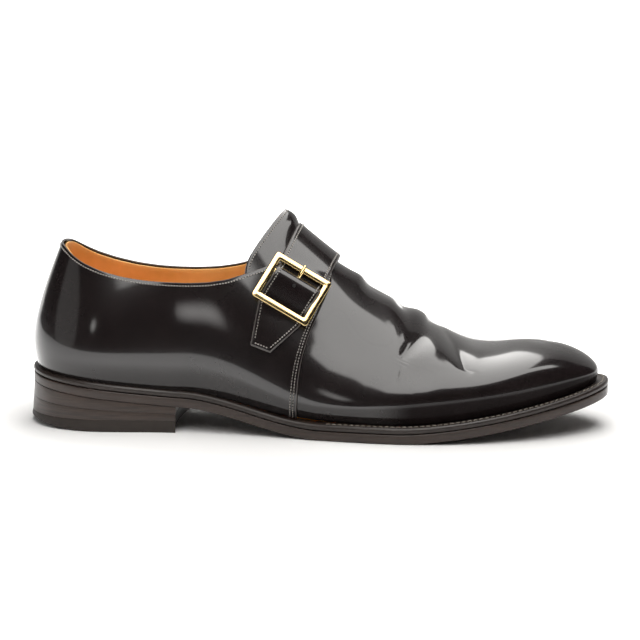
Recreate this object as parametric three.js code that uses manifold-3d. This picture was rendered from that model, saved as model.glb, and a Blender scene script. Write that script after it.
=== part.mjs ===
// Right monk strap shoe, empty, standing on its sole. Millimetres.
// While it is built: +X runs from heel to toe, +Y towards the inner (medial) side of the foot, +Z up,
// with the floor at Z = 0. The finished group is then centred over the origin.
import * as THREE from "three";
import { mergeVertices } from "three/addons/utils/BufferGeometryUtils.js";
import Module from "manifold-3d";

const wasm = await Module();
wasm.setup();

// ---------------------------------------------------------------- driving sizes
const GAP = 0.3; // between pieces that touch
const UPPER_WALL = 2.2; // outer leather and lining together
const OUTSOLE = 5;
const WELT = 3;
const INSOLE = 5.6; // with the cork filling under it, down to the outsole
const SHOE_LENGTH = 304;
const FOOTPRINT_MIDDLE = { x: 152.45, y: 0.05 };
const HEEL_BREAST = 82;
const BREAST_STATION = 3.24; // the same place, counted in stations
const BREAST_HOLLOW = 3.2; // the breast curves in this much at its middle
const ARCH_HEIGHT = 13; // underside of the outsole at the heel breast
const HEEL_PITCH = 9; // further rise of the outsole from the breast to the heel's back
const ARCH_END = 158; // where the arch comes down to the floor
const TREAD_END = 198; // where the toe spring starts
const TOE_SPRING = 17;
const TOP_PIECE = 6; // under the leather lifts
const LIFTS = 2;
const HEEL_WEAR = 4; // worn off the back edge of the top piece
const HEEL_WEAR_LENGTH = 36;
const HEEL_FLARE = 1.6; // the heel's foot stands out from its seat
const EDGE_TRIM = { outsole: 0.2, heel: 0.3 }; // these edges stand in from the welt's
const WELT_OVER_WALL = 0.9; // the welt reaches this far inside the upper's wall

const TOPLINE_TILT = 0.02; // the inner side of the collar is the higher one
const TONGUE_ROOT = { x: 119, z: 82.6, slope: 0.32 }; // line that parts the tongue from the upper

const STRAP_THICKNESS = 2;
const STRAP_CLEAR = 0.45; // under the strap
const STRAP_TILT = THREE.MathUtils.degToRad(24); // of the strap's plane from the upright, to the front
const STRAP_AXIS = new THREE.Vector3(133.7, 2, 51.8); // the strap is wrapped round this line
const STRAP_RADIUS = 40; // mean distance from that line to the outer side of the upper
const STRAP_SHEAR = 0.14; // degrees round the line for each millimetre across the strap
const STRAP_HOLE = { from: 5.3, to: 9, width: 3.2 }; // up the strap from the buckle's middle

const BUCKLE = { width: 32.4, length: 27, bar: 3.4, depth: 2.4, corner: 1.6 };
const BUCKLE_ANGLE = 52; // degrees round the strap's axis from its top
const BUCKLE_SHIFT = -2; // across the strap, towards the heel
const BUCKLE_TURN = THREE.MathUtils.degToRad(6);
const BUCKLE_HEIGHT = 3.9; // its middle over the upper
const PRONG_BAR = { radius: 1.1, up: 4.3 }; // up the strap from the buckle's middle
const PRONG = { width: 2.2, depth: 1.5, nib: 0.8 }; // nib: its end is this much thinner

// How finely the curved pieces are divided.
const PARTS_PER_STATION = 3;
const TUCK_ROWS = 3;
const SIDE_ROWS = 9;
const RUNGS_PER_STATION = 4;
const HEEL_PARTS = { along: 12, across: 4 };
const WRAP_PARTS = { perStation: 8, up: 40 };
// Steps along the strap: in degrees where it lies on the upper, in millimetres at the buckle.
const STRAP_STEPS = { wrapped: 6, end: 4, bend: 0.7, bridge: 1.7 };

// ---------------------------------------------------------------- curves
const clamp01 = (u) => Math.min(1, Math.max(0, u));
const smoothstep = (from, to, x) => {
  const u = clamp01((x - from) / (to - from));
  return u * u * (3 - 2 * u);
};

// Turns a line of column names and rows of numbers into one array for each column.
function table(header, rows) {
  const columns = {};
  header.split(" ").forEach((name, i) => {
    columns[name] = rows.map((row) => row[i]);
  });
  return columns;
}

// Smooth closed curve through values at 0, 1, 2 ...: a periodic cubic spline.
function loop(values) {
  const n = values.length;
  const at = (list, i) => list[((i % n) + n) % n];
  const bend = values.map(() => 0);
  for (let pass = 0; pass < 60; pass++) {
    for (let i = 0; i < n; i++) {
      const turn = at(values, i - 1) - 2 * at(values, i) + at(values, i + 1);
      bend[i] = (6 * turn - at(bend, i - 1) - at(bend, i + 1)) / 4;
    }
  }
  return (u) => {
    const i = Math.floor(u);
    const b = u - i;
    const a = 1 - b;
    const line = a * at(values, i) + b * at(values, i + 1);
    return line + ((a ** 3 - a) * at(bend, i) + (b ** 3 - b) * at(bend, i + 1)) / 6;
  };
}

// Straight-line reading of a table: the value of one column where another has the value x.
function read(xs, ys, x) {
  if (x <= xs[0]) return ys[0];
  for (let i = 1; i < xs.length; i++) {
    if (x <= xs[i]) {
      return ys[i - 1] + ((ys[i] - ys[i - 1]) * (x - xs[i - 1])) / (xs[i] - xs[i - 1]);
    }
  }
  return ys[ys.length - 1];
}

// ---------------------------------------------------------------- the last
// Stations from the heel's back to the toe's tip. x, y: edge of the sole. foot: how far the upper's
// foot stands in from that edge. swell: how far the upper then bulges out, at the height wide.
// rise, reach, drop: how full its section is over the side, over the top, and how steep at the top.
const COLUMNS = "x y foot swell wide rise reach drop";
const LATERAL = table(COLUMNS, [
  [2.2, 0, 2.2, 1.8, 12, 0.23, 0.56, 0.43],
  [13, -24.2, 2.4, 2.0, 12, 0.25, 0.6, 0.4],
  [40, -34.4, 2.8, 2.4, 13, 0.28, 0.62, 0.37],
  [74, -33.0, 3.2, 2.6, 15, 0.3, 0.62, 0.34],
  [108, -36.3, 4.4, 4.0, 15, 0.32, 0.56, 0.2],
  [141, -42.8, 5.4, 4.2, 10, 0.3, 0.49, 0.02],
  [172, -48.6, 6.0, 3.4, 8.5, 0.2, 0.5, 0],
  [203, -51.4, 6.2, 2.8, 10, 0.38, 0.54, 0],
  [234, -47.8, 6.2, 2.2, 10, 0.62, 0.58, 0],
  [262, -38.6, 6.2, 1.6, 8.5, 0.66, 0.6, 0],
  [287, -24, 6.2, 1.0, 7, 0.54, 0.58, 0],
  [301, -8, 6.2, 0.8, 5.5, 0.36, 0.54, 0],
]);
const TIP = table(COLUMNS, [[SHOE_LENGTH, 5.5, 6.2, 0.8, 5.5, 0.34, 0.52, 0]]);
const MEDIAL = table(COLUMNS, [
  [301, 18.5, 6.2, 0.8, 5.5, 0.36, 0.54, 0],
  [287, 34, 6.2, 1.0, 7, 0.54, 0.58, 0],
  [262, 45.6, 6.2, 1.6, 8.5, 0.66, 0.6, 0],
  [234, 51, 6.0, 2.4, 10, 0.62, 0.58, 0],
  [203, 50, 5.6, 2.8, 11, 0.44, 0.54, 0],
  [172, 41.4, 5.0, 4.0, 11, 0.3, 0.51, 0],
  [141, 31.6, 4.4, 5.0, 15, 0.38, 0.49, 0.02],
  [108, 27.8, 3.8, 4.4, 17, 0.32, 0.56, 0.2],
  [74, 30.4, 3.2, 3.0, 15, 0.3, 0.62, 0.34],
  [40, 32.4, 2.8, 2.4, 13, 0.28, 0.62, 0.37],
  [13, 24.2, 2.4, 2.0, 12, 0.25, 0.6, 0.4],
]);
const TIP_STATION = LATERAL.x.length;
const LOOP = 2 * TIP_STATION; // stations round the whole shoe
const side = {};
for (const column of COLUMNS.split(" ")) {
  side[column] = loop([...LATERAL[column], ...TIP[column], ...MEDIAL[column]]);
}

// The line along the top of the last where its two sides meet, at the same stations. Behind the
// instep it lies above the collar, where the shoe is open, and only steers the quarters' lean.
const TOP = table("x y z", [
  [24, 0, 108],
  [28, 0, 108.5],
  [46, 0, 111],
  [76, 0, 117],
  [107, 1, 128],
  [139, 2.5, 105.5],
  [171, 4, 79.6],
  [203, 6, 58.2],
  [234, 7.5, 43.2],
  [256, 8, 43.2],
  [267, 8, 43.2],
  [271, 8, 43],
  [272, 8, 42.8],
]);
const thereAndBack = (values) => [...values, ...values.slice(1, -1).reverse()];
const top = {
  x: loop(thereAndBack(TOP.x)),
  y: loop(thereAndBack(TOP.y)),
  z: loop(thereAndBack(TOP.z)),
};
// Over the open quarters the two sides stay apart at the top, which rounds the collar's back.
const APART = 9;
function apart(u) {
  const stations = Math.min(u, LOOP - u);
  const back = Math.sin((Math.PI / 2) * clamp01(stations / 1.6));
  const closing = 1 - smoothstep(2.6, 5, stations);
  return Math.sign(u - TIP_STATION) * APART * back * closing;
}

// Underside of the outsole: heel pitch, arch, flat tread and toe spring.
function underside(x) {
  const arch = ARCH_HEIGHT * smoothstep(ARCH_END, HEEL_BREAST, x);
  const pitch = HEEL_PITCH * clamp01((HEEL_BREAST - x) / HEEL_BREAST) ** 1.2;
  const spring = TOE_SPRING * clamp01((x - TREAD_END) / (SHOE_LENGTH - TREAD_END)) ** 1.5;
  return arch + pitch + spring;
}
const weltTop = (x) => underside(x) + OUTSOLE + GAP + WELT;

// Point on the edge of the sole at station u, moved in by an inset.
function edge(u, inset) {
  const step = 1e-3;
  const dx = side.x(u + step) - side.x(u - step);
  const dy = side.y(u + step) - side.y(u - step);
  const length = Math.hypot(dx, dy);
  return new THREE.Vector2(side.x(u) - (dy / length) * inset, side.y(u) + (dx / length) * inset);
}

// Outer face of the upper: rib u of the loop, at v = 0 on the welt, 1 at its widest, 2 on the ridge.
function upperPoint(u, v) {
  const foot = side.foot(u);
  const swell = side.swell(u);
  const wide = side.wide(u);
  if (v <= 1) {
    const at = edge(u, foot - swell * (1 - (1 - v) ** 2));
    return new THREE.Vector3(at.x, at.y, weltTop(at.x) + GAP + wide * v);
  }
  const start = edge(u, foot - swell);
  const z = weltTop(start.x) + GAP + wide;
  const height = top.z(u) - z;
  const a = new THREE.Vector3(start.x, start.y, z);
  const d = new THREE.Vector3(top.x(u), top.y(u) + apart(u), top.z(u));
  const b = new THREE.Vector3(a.x, a.y, z + side.rise(u) * height);
  const c = new THREE.Vector3().lerpVectors(d, a, side.reach(u));
  c.z = d.z - side.drop(u) * height;
  return new THREE.CubicBezierCurve3(a, b, c, d).getPoint(v - 1);
}

function upperNormal(u, v) {
  const step = 2e-3;
  const along = upperPoint(u + step, v).sub(upperPoint(u - step, v));
  const up = upperPoint(u, Math.min(2, v + step)).sub(upperPoint(u, Math.max(0, v - step)));
  return along.cross(up).normalize();
}

// ---------------------------------------------------------------- meshes and booleans
function meshOf(points, triangles) {
  const raw = new THREE.BufferGeometry();
  raw.setAttribute("position", new THREE.Float32BufferAttribute(points.flatMap((p) => [p.x, p.y, p.z]), 3));
  raw.setIndex(triangles.flat());
  return tidy(raw);
}

// Merges shared vertices and drops triangles that have no area.
function tidy(geometry) {
  const bare = geometry.clone();
  bare.deleteAttribute("normal");
  bare.deleteAttribute("uv");
  const merged = mergeVertices(bare, 1e-3);
  const index = [...merged.index.array];
  const kept = [];
  for (let i = 0; i < index.length; i += 3) {
    const [a, b, c] = index.slice(i, i + 3);
    if (a !== b && b !== c && c !== a) kept.push(a, b, c);
  }
  merged.setIndex(kept);
  return merged;
}

function solid(geometry) {
  const bare = tidy(geometry);
  return new wasm.Manifold(
    new wasm.Mesh({
      numProp: 3,
      vertProperties: new Float32Array(bare.attributes.position.array),
      triVerts: new Uint32Array(bare.index.array),
    }),
  );
}

function geometryOf(manifold) {
  const mesh = manifold.getMesh();
  const geometry = new THREE.BufferGeometry();
  geometry.setAttribute("position", new THREE.BufferAttribute(mesh.vertProperties, 3));
  geometry.setIndex(new THREE.BufferAttribute(mesh.triVerts, 1));
  return geometry;
}

// Triangles of a grid of rows by columns of points; a closed grid joins its last row to its first.
function gridTriangles(rows, columns, closed, first = 0) {
  const triangles = [];
  for (let i = 0; i < (closed ? rows : rows - 1); i++) {
    for (let j = 0; j < columns - 1; j++) {
      const a = first + i * columns + j;
      const b = first + ((i + 1) % rows) * columns + j;
      triangles.push([a, b, b + 1], [a, b + 1, a + 1]);
    }
  }
  return triangles;
}

// Triangles of a closed plate: a grid of lower points, the same grid of upper points, and the rim.
function plateTriangles(rows, columns) {
  const count = rows * columns;
  const triangles = gridTriangles(rows, columns, false, count);
  triangles.push(...gridTriangles(rows, columns, false).map(([a, b, c]) => [a, c, b]));
  const rim = [];
  for (let j = 0; j < columns; j++) rim.push(j);
  for (let i = 1; i < rows; i++) rim.push(i * columns + columns - 1);
  for (let j = columns - 2; j >= 0; j--) rim.push((rows - 1) * columns + j);
  for (let i = rows - 2; i > 0; i--) rim.push(i * columns);
  rim.forEach((a, i) => {
    const b = rim[(i + 1) % rim.length];
    triangles.push([a, b + count, b], [a, a + count, b + count]);
  });
  return triangles;
}

// Closed slab between two height functions over a grid of plan points, row by row.
function slab(rows, bottom, topOf) {
  const points = [];
  for (const height of [bottom, topOf]) {
    for (const row of rows) {
      for (const p of row) points.push(new THREE.Vector3(p.x, p.y, height(p.x, p.y)));
    }
  }
  return meshOf(points, plateTriangles(rows.length, rows[0].length));
}

// ---------------------------------------------------------------- sole
// Rungs across the sole from the outer to the inner side, between two stations.
function rungs(fromStation, toStation, inset) {
  const rows = [];
  const count = (toStation - fromStation) * RUNGS_PER_STATION;
  for (let i = 0; i <= count; i++) {
    const u = fromStation + ((toStation - fromStation) * i) / count;
    rows.push([edge(u, inset(u)), edge(LOOP - u, inset(LOOP - u))]);
  }
  return rows;
}

const outsole = () =>
  slab(
    rungs(0, TIP_STATION, () => EDGE_TRIM.outsole),
    (x) => underside(x),
    (x) => underside(x) + OUTSOLE,
  );

const innerEdge = (u) => side.foot(u) + UPPER_WALL + WELT_OVER_WALL; // of the welt, all round
const insole = () =>
  slab(
    rungs(0, TIP_STATION, (u) => innerEdge(u) + GAP),
    (x) => underside(x) + OUTSOLE + GAP,
    (x) => underside(x) + OUTSOLE + GAP + INSOLE,
  );

function welt() {
  const count = LOOP * PARTS_PER_STATION;
  const points = [];
  for (let i = 0; i < count; i++) {
    const u = i / PARTS_PER_STATION;
    const section = [
      [0, 0],
      [0, WELT],
      [innerEdge(u), WELT],
      [innerEdge(u), 0],
      [0, 0],
    ];
    for (const [inset, height] of section) {
      const at = edge(u, inset);
      points.push(new THREE.Vector3(at.x, at.y, underside(at.x) + OUTSOLE + GAP + height));
    }
  }
  return meshOf(points, gridTriangles(count, 5, true));
}

// The heel: leather lifts in a wedge, and a flat rubber top piece under them.
function heelRows(inset) {
  const rows = [];
  for (let i = 0; i <= HEEL_PARTS.along; i++) {
    const share = i / HEEL_PARTS.along;
    const u = BREAST_STATION * share ** 1.2; // closer together round the heel's back
    const a = edge(u, inset);
    const b = edge(LOOP - u, inset);
    const row = [];
    for (let j = 0; j <= HEEL_PARTS.across; j++) {
      const across = j / HEEL_PARTS.across;
      const p = new THREE.Vector2().lerpVectors(a, b, across);
      p.x -= BREAST_HOLLOW * 4 * across * (1 - across) * share ** 3; // none at the heel's back
      row.push(p);
    }
    rows.push(row);
  }
  return rows;
}
const liftLevel = (x, share) => TOP_PIECE + (underside(x) - TOP_PIECE) * share;
const lift = (number) =>
  slab(
    heelRows(EDGE_TRIM.heel - (HEEL_FLARE * (LIFTS - number + 0.5)) / (LIFTS + 0.5)),
    (x) => liftLevel(x, (number - 1) / LIFTS) + GAP / 2,
    (x) => liftLevel(x, number / LIFTS) - GAP / 2,
  );
const wear = (x) => HEEL_WEAR * clamp01((HEEL_WEAR_LENGTH - x) / HEEL_WEAR_LENGTH) ** 1.5;
const topPiece = () => slab(heelRows(EDGE_TRIM.heel - HEEL_FLARE), wear, () => TOP_PIECE - GAP / 2);

// ---------------------------------------------------------------- upper and tongue
// A closed form bounded by the upper's outer face, moved in by the wall, open or closed below.
function lastForm(inwards, footDrop) {
  const rows = LOOP * PARTS_PER_STATION;
  const vs = [];
  for (let j = 0; j < TUCK_ROWS; j++) vs.push(j / TUCK_ROWS);
  for (let j = 0; j <= SIDE_ROWS; j++) vs.push(1 + j / SIDE_ROWS);
  const points = [];
  for (let i = 0; i < rows; i++) {
    const u = i / PARTS_PER_STATION;
    const rib = vs.map((v) => upperPoint(u, v).addScaledVector(upperNormal(u, v), -inwards));
    if (apart(u) === 0) {
      const twin = upperPoint(LOOP - u, 2).addScaledVector(upperNormal(LOOP - u, 2), -inwards);
      rib[rib.length - 1].lerp(twin, 0.5);
    }
    const foot = rib[0].clone();
    foot.z -= footDrop;
    points.push(foot, ...rib);
  }
  const columns = vs.length + 1;
  const triangles = gridTriangles(rows, columns, true);
  // the bottom and the top, closed from side to side
  for (let i = 0; i < rows / 2; i++) {
    const [a, b, c, d] = [i, i + 1, rows - i - 1, (rows - i) % rows].map((row) => row * columns);
    const over = columns - 1;
    triangles.push([a, d, c], [a, c, b], [a + over, c + over, d + over], [a + over, b + over, c + over]);
  }
  return solid(meshOf(points, triangles));
}

// A wall through the whole shoe from side to side, over an outline seen from the side. The tilt
// raises its inner end.
function sideCut(outline) {
  const width = 200;
  const shape = new THREE.Shape(outline.map(([x, z]) => new THREE.Vector2(x, z)));
  const block = new THREE.ExtrudeGeometry(shape, { depth: width, bevelEnabled: false });
  // the shape's own axes become X and Z, and the extrusion runs from +Y to -Y
  block.rotateX(Math.PI / 2);
  block.translate(0, width / 2, 0);
  block.applyMatrix4(new THREE.Matrix4().makeShear(0, 0, 0, TOPLINE_TILT, 0, 0));
  return solid(block);
}

// Collar seen from the outer side, from the heel's back to the tongue.
const COLLAR = [
  [-20, 96],
  [10, 95.8],
  [17, 95.2],
  [21, 93.6],
  [26, 89.6],
  [33, 85.7],
  [43, 82.1],
  [54, 79.4],
  [65, 77.8],
  [76, 77.1],
  [87, 77],
  [98, 77.6],
  [109, 79.4],
  [TONGUE_ROOT.x, TONGUE_ROOT.z],
];
// Back edge of the tongue, from its root to its peak.
const TONGUE_EDGE = [
  [TONGUE_ROOT.x, TONGUE_ROOT.z],
  [118.4, 86.5],
  [119.8, 90.5],
  [122.8, 95.3],
  [126.8, 101],
  [130.6, 106],
  [133.4, 109.4],
  [137, 113],
];
const BEYOND = { x: 190, z: 150 }; // past everything that is cut
const rootAt = (x) => TONGUE_ROOT.z + TONGUE_ROOT.slope * (x - TONGUE_ROOT.x);

function upperAndTongue() {
  const shell = lastForm(0, 0).subtract(lastForm(UPPER_WALL, 20));
  const open = sideCut([...COLLAR, [BEYOND.x, rootAt(BEYOND.x)], [BEYOND.x, BEYOND.z], [-20, BEYOND.z]]);
  const tongueRegion = sideCut([
    [TONGUE_ROOT.x, TONGUE_ROOT.z + GAP],
    [BEYOND.x, rootAt(BEYOND.x) + GAP * 1.1],
    [BEYOND.x, BEYOND.z],
    [150, BEYOND.z],
    ...[...TONGUE_EDGE.slice(1)].reverse(),
  ]);
  return {
    upper: geometryOf(shell.subtract(open)),
    tongue: geometryOf(shell.intersect(tongueRegion)),
  };
}

// ---------------------------------------------------------------- strap
const strapUp = new THREE.Vector3(Math.sin(STRAP_TILT), 0, Math.cos(STRAP_TILT));
const strapAcross = new THREE.Vector3(Math.cos(STRAP_TILT), 0, -Math.sin(STRAP_TILT));

// The upper's outer face, to lay other pieces on.
function wrapSurface() {
  const rows = LOOP * WRAP_PARTS.perStation;
  const columns = WRAP_PARTS.up + 1;
  const points = [];
  for (let i = 0; i < rows; i++) {
    for (let j = 0; j < columns; j++) {
      points.push(upperPoint(i / WRAP_PARTS.perStation, (2 * j) / WRAP_PARTS.up));
    }
  }
  return new THREE.Mesh(
    meshOf(points, gridTriangles(rows, columns, true)),
    new THREE.MeshStandardMaterial({ side: THREE.DoubleSide }),
  );
}
const wrapTarget = wrapSurface();

// Point on the upper under the strap: an angle in degrees round the strap's axis, positive to the
// outer side, and a distance across the strap, positive to the toe. height is over the upper.
function wrap(angle, across, height = 0) {
  const turn = THREE.MathUtils.degToRad(angle);
  const from = STRAP_AXIS.clone().addScaledVector(strapAcross, across);
  const way = strapUp.clone().multiplyScalar(Math.cos(turn));
  way.y -= Math.sin(turn);
  const hits = new THREE.Raycaster(from, way.normalize()).intersectObject(wrapTarget);
  return hits[0].point.addScaledVector(way, height);
}

// The buckle's own axes on the upper: X across the strap to the toe, Y up the strap, Z outwards.
function buckleFrame() {
  const reach = 12;
  const up = wrap(BUCKLE_ANGLE - reach, BUCKLE_SHIFT).sub(wrap(BUCKLE_ANGLE + reach, BUCKLE_SHIFT));
  const ahead = wrap(BUCKLE_ANGLE, BUCKLE_SHIFT + reach);
  const across = ahead.sub(wrap(BUCKLE_ANGLE, BUCKLE_SHIFT - reach));
  const out = new THREE.Vector3().crossVectors(across, up).normalize();
  up.normalize().applyAxisAngle(out, -BUCKLE_TURN);
  across.crossVectors(up, out);
  const matrix = new THREE.Matrix4().makeBasis(across, up, out);
  return matrix.setPosition(wrap(BUCKLE_ANGLE, BUCKLE_SHIFT));
}
const buckleMatrix = buckleFrame();
const placed = (geometry) => geometry.applyMatrix4(buckleMatrix);

// Outline of the strap from its sewn root on the inner side to its point on the outer side.
const STRAP = table("angle back front", [
  [-90, -15, 15],
  [-60, -13.4, 13.4],
  [-30, -12.6, 12.6],
  [0, -12.5, 12.5],
  [25, -12.6, 12],
  [40, -13, 10.6],
  [60, -13.6, 10.1],
  [70, -13.4, 10],
  [78, -12.6, 8.8],
  [90, -10.6, 5],
  [98, -9.2, 2.2],
  [101, -8.7, 1.4],
]);
// Height of the strap's middle layer over the upper, by the distance up from the buckle's middle. It
// passes under the upper bar, steeply over the prong's bar, and down under the lower bar.
const LAID = STRAP_CLEAR + STRAP_THICKNESS / 2;
const STRAP_HEIGHT = table("up height", [
  [-11, LAID],
  [-9, LAID + 0.1],
  [-7, 2.2],
  [-4, 3.8],
  [-1, 5.3],
  [2, 6.3],
  [4, 6.5],
  [5.3, 6.1],
  [6.4, 5],
  [7, 3.6],
  [8, 2],
  [9.2, LAID],
]);

// One point of a cross line of the strap, at a place up from the buckle's middle and a height over
// the upper. Near the buckle the strap follows the buckle's plane, and elsewhere the upper.
function strapPoint(up, across, height) {
  const angle = BUCKLE_ANGLE - THREE.MathUtils.radToDeg(up / STRAP_RADIUS);
  const laid = wrap(angle - STRAP_SHEAR * (across - BUCKLE_SHIFT), across, height);
  const held = new THREE.Vector3(across - BUCKLE_SHIFT, up, height).applyMatrix4(buckleMatrix);
  return laid.lerp(held, 1 - smoothstep(8, 17, Math.abs(up)));
}

function strap() {
  const perDegree = THREE.MathUtils.degToRad(STRAP_RADIUS);
  const upAt = (angle) => (BUCKLE_ANGLE - angle) * perDegree;
  const [root, point] = [STRAP.angle[0], STRAP.angle[STRAP.angle.length - 1]];
  const ups = [];
  for (let angle = root; angle < 34; angle += STRAP_STEPS.wrapped) ups.push(upAt(angle));
  for (let up = 11; up > 4; up -= STRAP_STEPS.bend) ups.push(up);
  for (let up = 3.6; up > -12; up -= STRAP_STEPS.bridge) ups.push(up);
  for (let angle = 72; angle < point; angle += STRAP_STEPS.end) ups.push(upAt(angle));
  ups.push(upAt(point));
  const heightAt = (up) => read(STRAP_HEIGHT.up, STRAP_HEIGHT.height, up);
  const acrossParts = 5;
  const columns = acrossParts + 1;
  const points = [];
  for (const layer of [-0.5, 0.5]) {
    for (const up of ups) {
      const angle = BUCKLE_ANGLE - up / perDegree;
      const back = read(STRAP.angle, STRAP.back, angle);
      const front = read(STRAP.angle, STRAP.front, angle);
      // the layer lies square to the strap's middle layer
      const slope = heightAt(up + 0.4) - heightAt(up - 0.4);
      const square = new THREE.Vector2(-slope, 0.8).normalize().multiplyScalar(layer * STRAP_THICKNESS);
      for (let j = 0; j < columns; j++) {
        const across = back + ((front - back) * j) / acrossParts;
        points.push(strapPoint(up + square.x, across, heightAt(up) + square.y));
      }
    }
  }
  const band = solid(meshOf(points, plateTriangles(ups.length, columns)));
  const hole = new THREE.BoxGeometry(STRAP_HOLE.width, STRAP_HOLE.to - STRAP_HOLE.from, 30);
  hole.translate(0, (STRAP_HOLE.to + STRAP_HOLE.from) / 2, 0);
  return geometryOf(band.subtract(solid(placed(hole))));
}

// ---------------------------------------------------------------- buckle
function roundedRectangle(target, width, length, corner) {
  const w = width / 2;
  const l = length / 2;
  target.moveTo(-w + corner, -l);
  target.lineTo(w - corner, -l);
  target.absarc(w - corner, -l + corner, corner, -Math.PI / 2, 0);
  target.absarc(w - corner, l - corner, corner, 0, Math.PI / 2);
  target.absarc(-w + corner, l - corner, corner, Math.PI / 2, Math.PI);
  target.absarc(-w + corner, -l + corner, corner, Math.PI, 1.5 * Math.PI);
  return target;
}

function buckleRing() {
  const { width, length, bar, depth, corner } = BUCKLE;
  const shape = roundedRectangle(new THREE.Shape(), width, length, corner);
  const opening = [width - 2 * bar, length - 2 * bar, corner / 3];
  shape.holes.push(roundedRectangle(new THREE.Path(), ...opening));
  const ring = new THREE.ExtrudeGeometry(shape, { depth, bevelEnabled: false, curveSegments: 3 });
  ring.translate(0, 0, BUCKLE_HEIGHT - depth / 2);
  return placed(ring);
}

function prongBar() {
  const length = BUCKLE.width - 2 * BUCKLE.bar - 2 * GAP;
  const bar = new THREE.CylinderGeometry(PRONG_BAR.radius, PRONG_BAR.radius, length, 12);
  bar.rotateZ(Math.PI / 2);
  bar.translate(0, PRONG_BAR.up, BUCKLE_HEIGHT);
  return placed(bar);
}

// The prong starts beside its bar, comes up through the strap and rests on the upper bar.
function prong() {
  const root = PRONG_BAR.up + PRONG_BAR.radius + GAP;
  const face = BUCKLE_HEIGHT + BUCKLE.depth / 2 + GAP;
  const end = BUCKLE.length / 2;
  const under = [
    [root, BUCKLE_HEIGHT - 0.6],
    [root + 1.8, face - 0.9],
    [end - BUCKLE.bar - 0.7, face],
    [end - 1, face],
    [end + 0.4, face - 0.1],
  ];
  const over = [...under].reverse().map(([up, height]) => [up, height + PRONG.depth]);
  over[0][1] -= PRONG.nib;
  const outline = new THREE.Shape([...under, ...over].map(([up, height]) => new THREE.Vector2(up, height)));
  const body = new THREE.ExtrudeGeometry(outline, { depth: PRONG.width, bevelEnabled: false });
  body.translate(0, 0, -PRONG.width / 2);
  // the outline's own axes become Y and Z, and the extrusion X
  const turn = new THREE.Matrix4().makeBasis(
    new THREE.Vector3(0, 1, 0),
    new THREE.Vector3(0, 0, 1),
    new THREE.Vector3(1, 0, 0),
  );
  return placed(body.applyMatrix4(turn));
}

// ---------------------------------------------------------------- assembly
const finish = (color, roughness, metalness = 0) => ({ color, roughness, metalness });
const LEATHER = finish(0x1c1517, 0.22);
const EDGE = finish(0x3a2a22, 0.5);
const TAN = finish(0xb9803f, 0.6);
const RUBBER = finish(0x1b1a1a, 0.8);
const BRASS = finish(0xd9b35a, 0.18, 1);

const shoe = new THREE.Group();
function add(name, geometry, look) {
  const mesh = new THREE.Mesh(geometry, new THREE.MeshStandardMaterial(look));
  mesh.name = name;
  shoe.add(mesh);
}

const { upper, tongue } = upperAndTongue();
add("upper", upper, LEATHER);
add("tongue", tongue, LEATHER);
add("insole", insole(), TAN);
add("welt", welt(), EDGE);
add("outsole", outsole(), EDGE);
for (let number = LIFTS; number >= 1; number--) add(`heel_lift_${number}`, lift(number), EDGE);
add("heel_top_piece", topPiece(), RUBBER);
add("strap", strap(), LEATHER);
add("buckle_frame", buckleRing(), BRASS);
add("buckle_bar", prongBar(), BRASS);
add("buckle_prong", prong(), BRASS);
shoe.position.set(-FOOTPRINT_MIDDLE.x, -FOOTPRINT_MIDDLE.y, 0);

export default shoe;
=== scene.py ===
import math

import bpy
import numpy as np
from mathutils import Matrix, Vector
from mathutils.bvhtree import BVHTree


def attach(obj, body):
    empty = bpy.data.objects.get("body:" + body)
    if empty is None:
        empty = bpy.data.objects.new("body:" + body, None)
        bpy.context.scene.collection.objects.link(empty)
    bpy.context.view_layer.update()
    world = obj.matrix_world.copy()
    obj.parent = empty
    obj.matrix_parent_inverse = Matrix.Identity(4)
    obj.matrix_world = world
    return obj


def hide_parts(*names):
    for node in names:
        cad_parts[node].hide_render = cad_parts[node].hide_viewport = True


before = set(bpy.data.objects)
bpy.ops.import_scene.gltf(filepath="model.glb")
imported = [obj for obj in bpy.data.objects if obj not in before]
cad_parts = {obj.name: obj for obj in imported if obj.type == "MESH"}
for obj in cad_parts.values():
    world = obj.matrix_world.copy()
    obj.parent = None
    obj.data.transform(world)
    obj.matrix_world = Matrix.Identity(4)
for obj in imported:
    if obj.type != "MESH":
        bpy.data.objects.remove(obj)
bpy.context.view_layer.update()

# Right monk strap shoe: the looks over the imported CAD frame. Sizes are millimetres in the shoe's
# own frame (X from the heel's back to the toe, Y to the inner side, Z up from the floor) and
# become metres, centred over the footprint, when a piece is made.
MIDDLE = np.array([152.45, 0.05, 0.0])
rng = np.random.default_rng(11)

# ------------------------------------------------------------------ the last
# A row for each station round the sole. x, y: the sole's edge. foot: how far inside it the upper's
# foot lies. swell, wide: how far the wall swells out over its foot, and how high it is there.
# rise, reach, drop: the handles of the curve from there up to the ridge.
COLUMNS = "x y foot swell wide rise reach drop".split()
LATERAL = [
    [2.2, 0, 2.2, 1.8, 12, 0.23, 0.56, 0.43],
    [13, -24.2, 2.4, 2.0, 12, 0.25, 0.6, 0.4],
    [40, -34.4, 2.8, 2.4, 13, 0.28, 0.62, 0.37],
    [74, -33.0, 3.2, 2.6, 15, 0.3, 0.62, 0.34],
    [108, -36.3, 4.4, 4.0, 15, 0.32, 0.56, 0.2],
    [141, -42.8, 5.4, 4.2, 10, 0.3, 0.49, 0.02],
    [172, -48.6, 6.0, 3.4, 8.5, 0.2, 0.5, 0],
    [203, -51.4, 6.2, 2.8, 10, 0.38, 0.54, 0],
    [234, -47.8, 6.2, 2.2, 10, 0.62, 0.58, 0],
    [262, -38.6, 6.2, 1.6, 8.5, 0.66, 0.6, 0],
    [287, -24, 6.2, 1.0, 7, 0.54, 0.58, 0],
    [301, -8, 6.2, 0.8, 5.5, 0.36, 0.54, 0],
]
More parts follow.
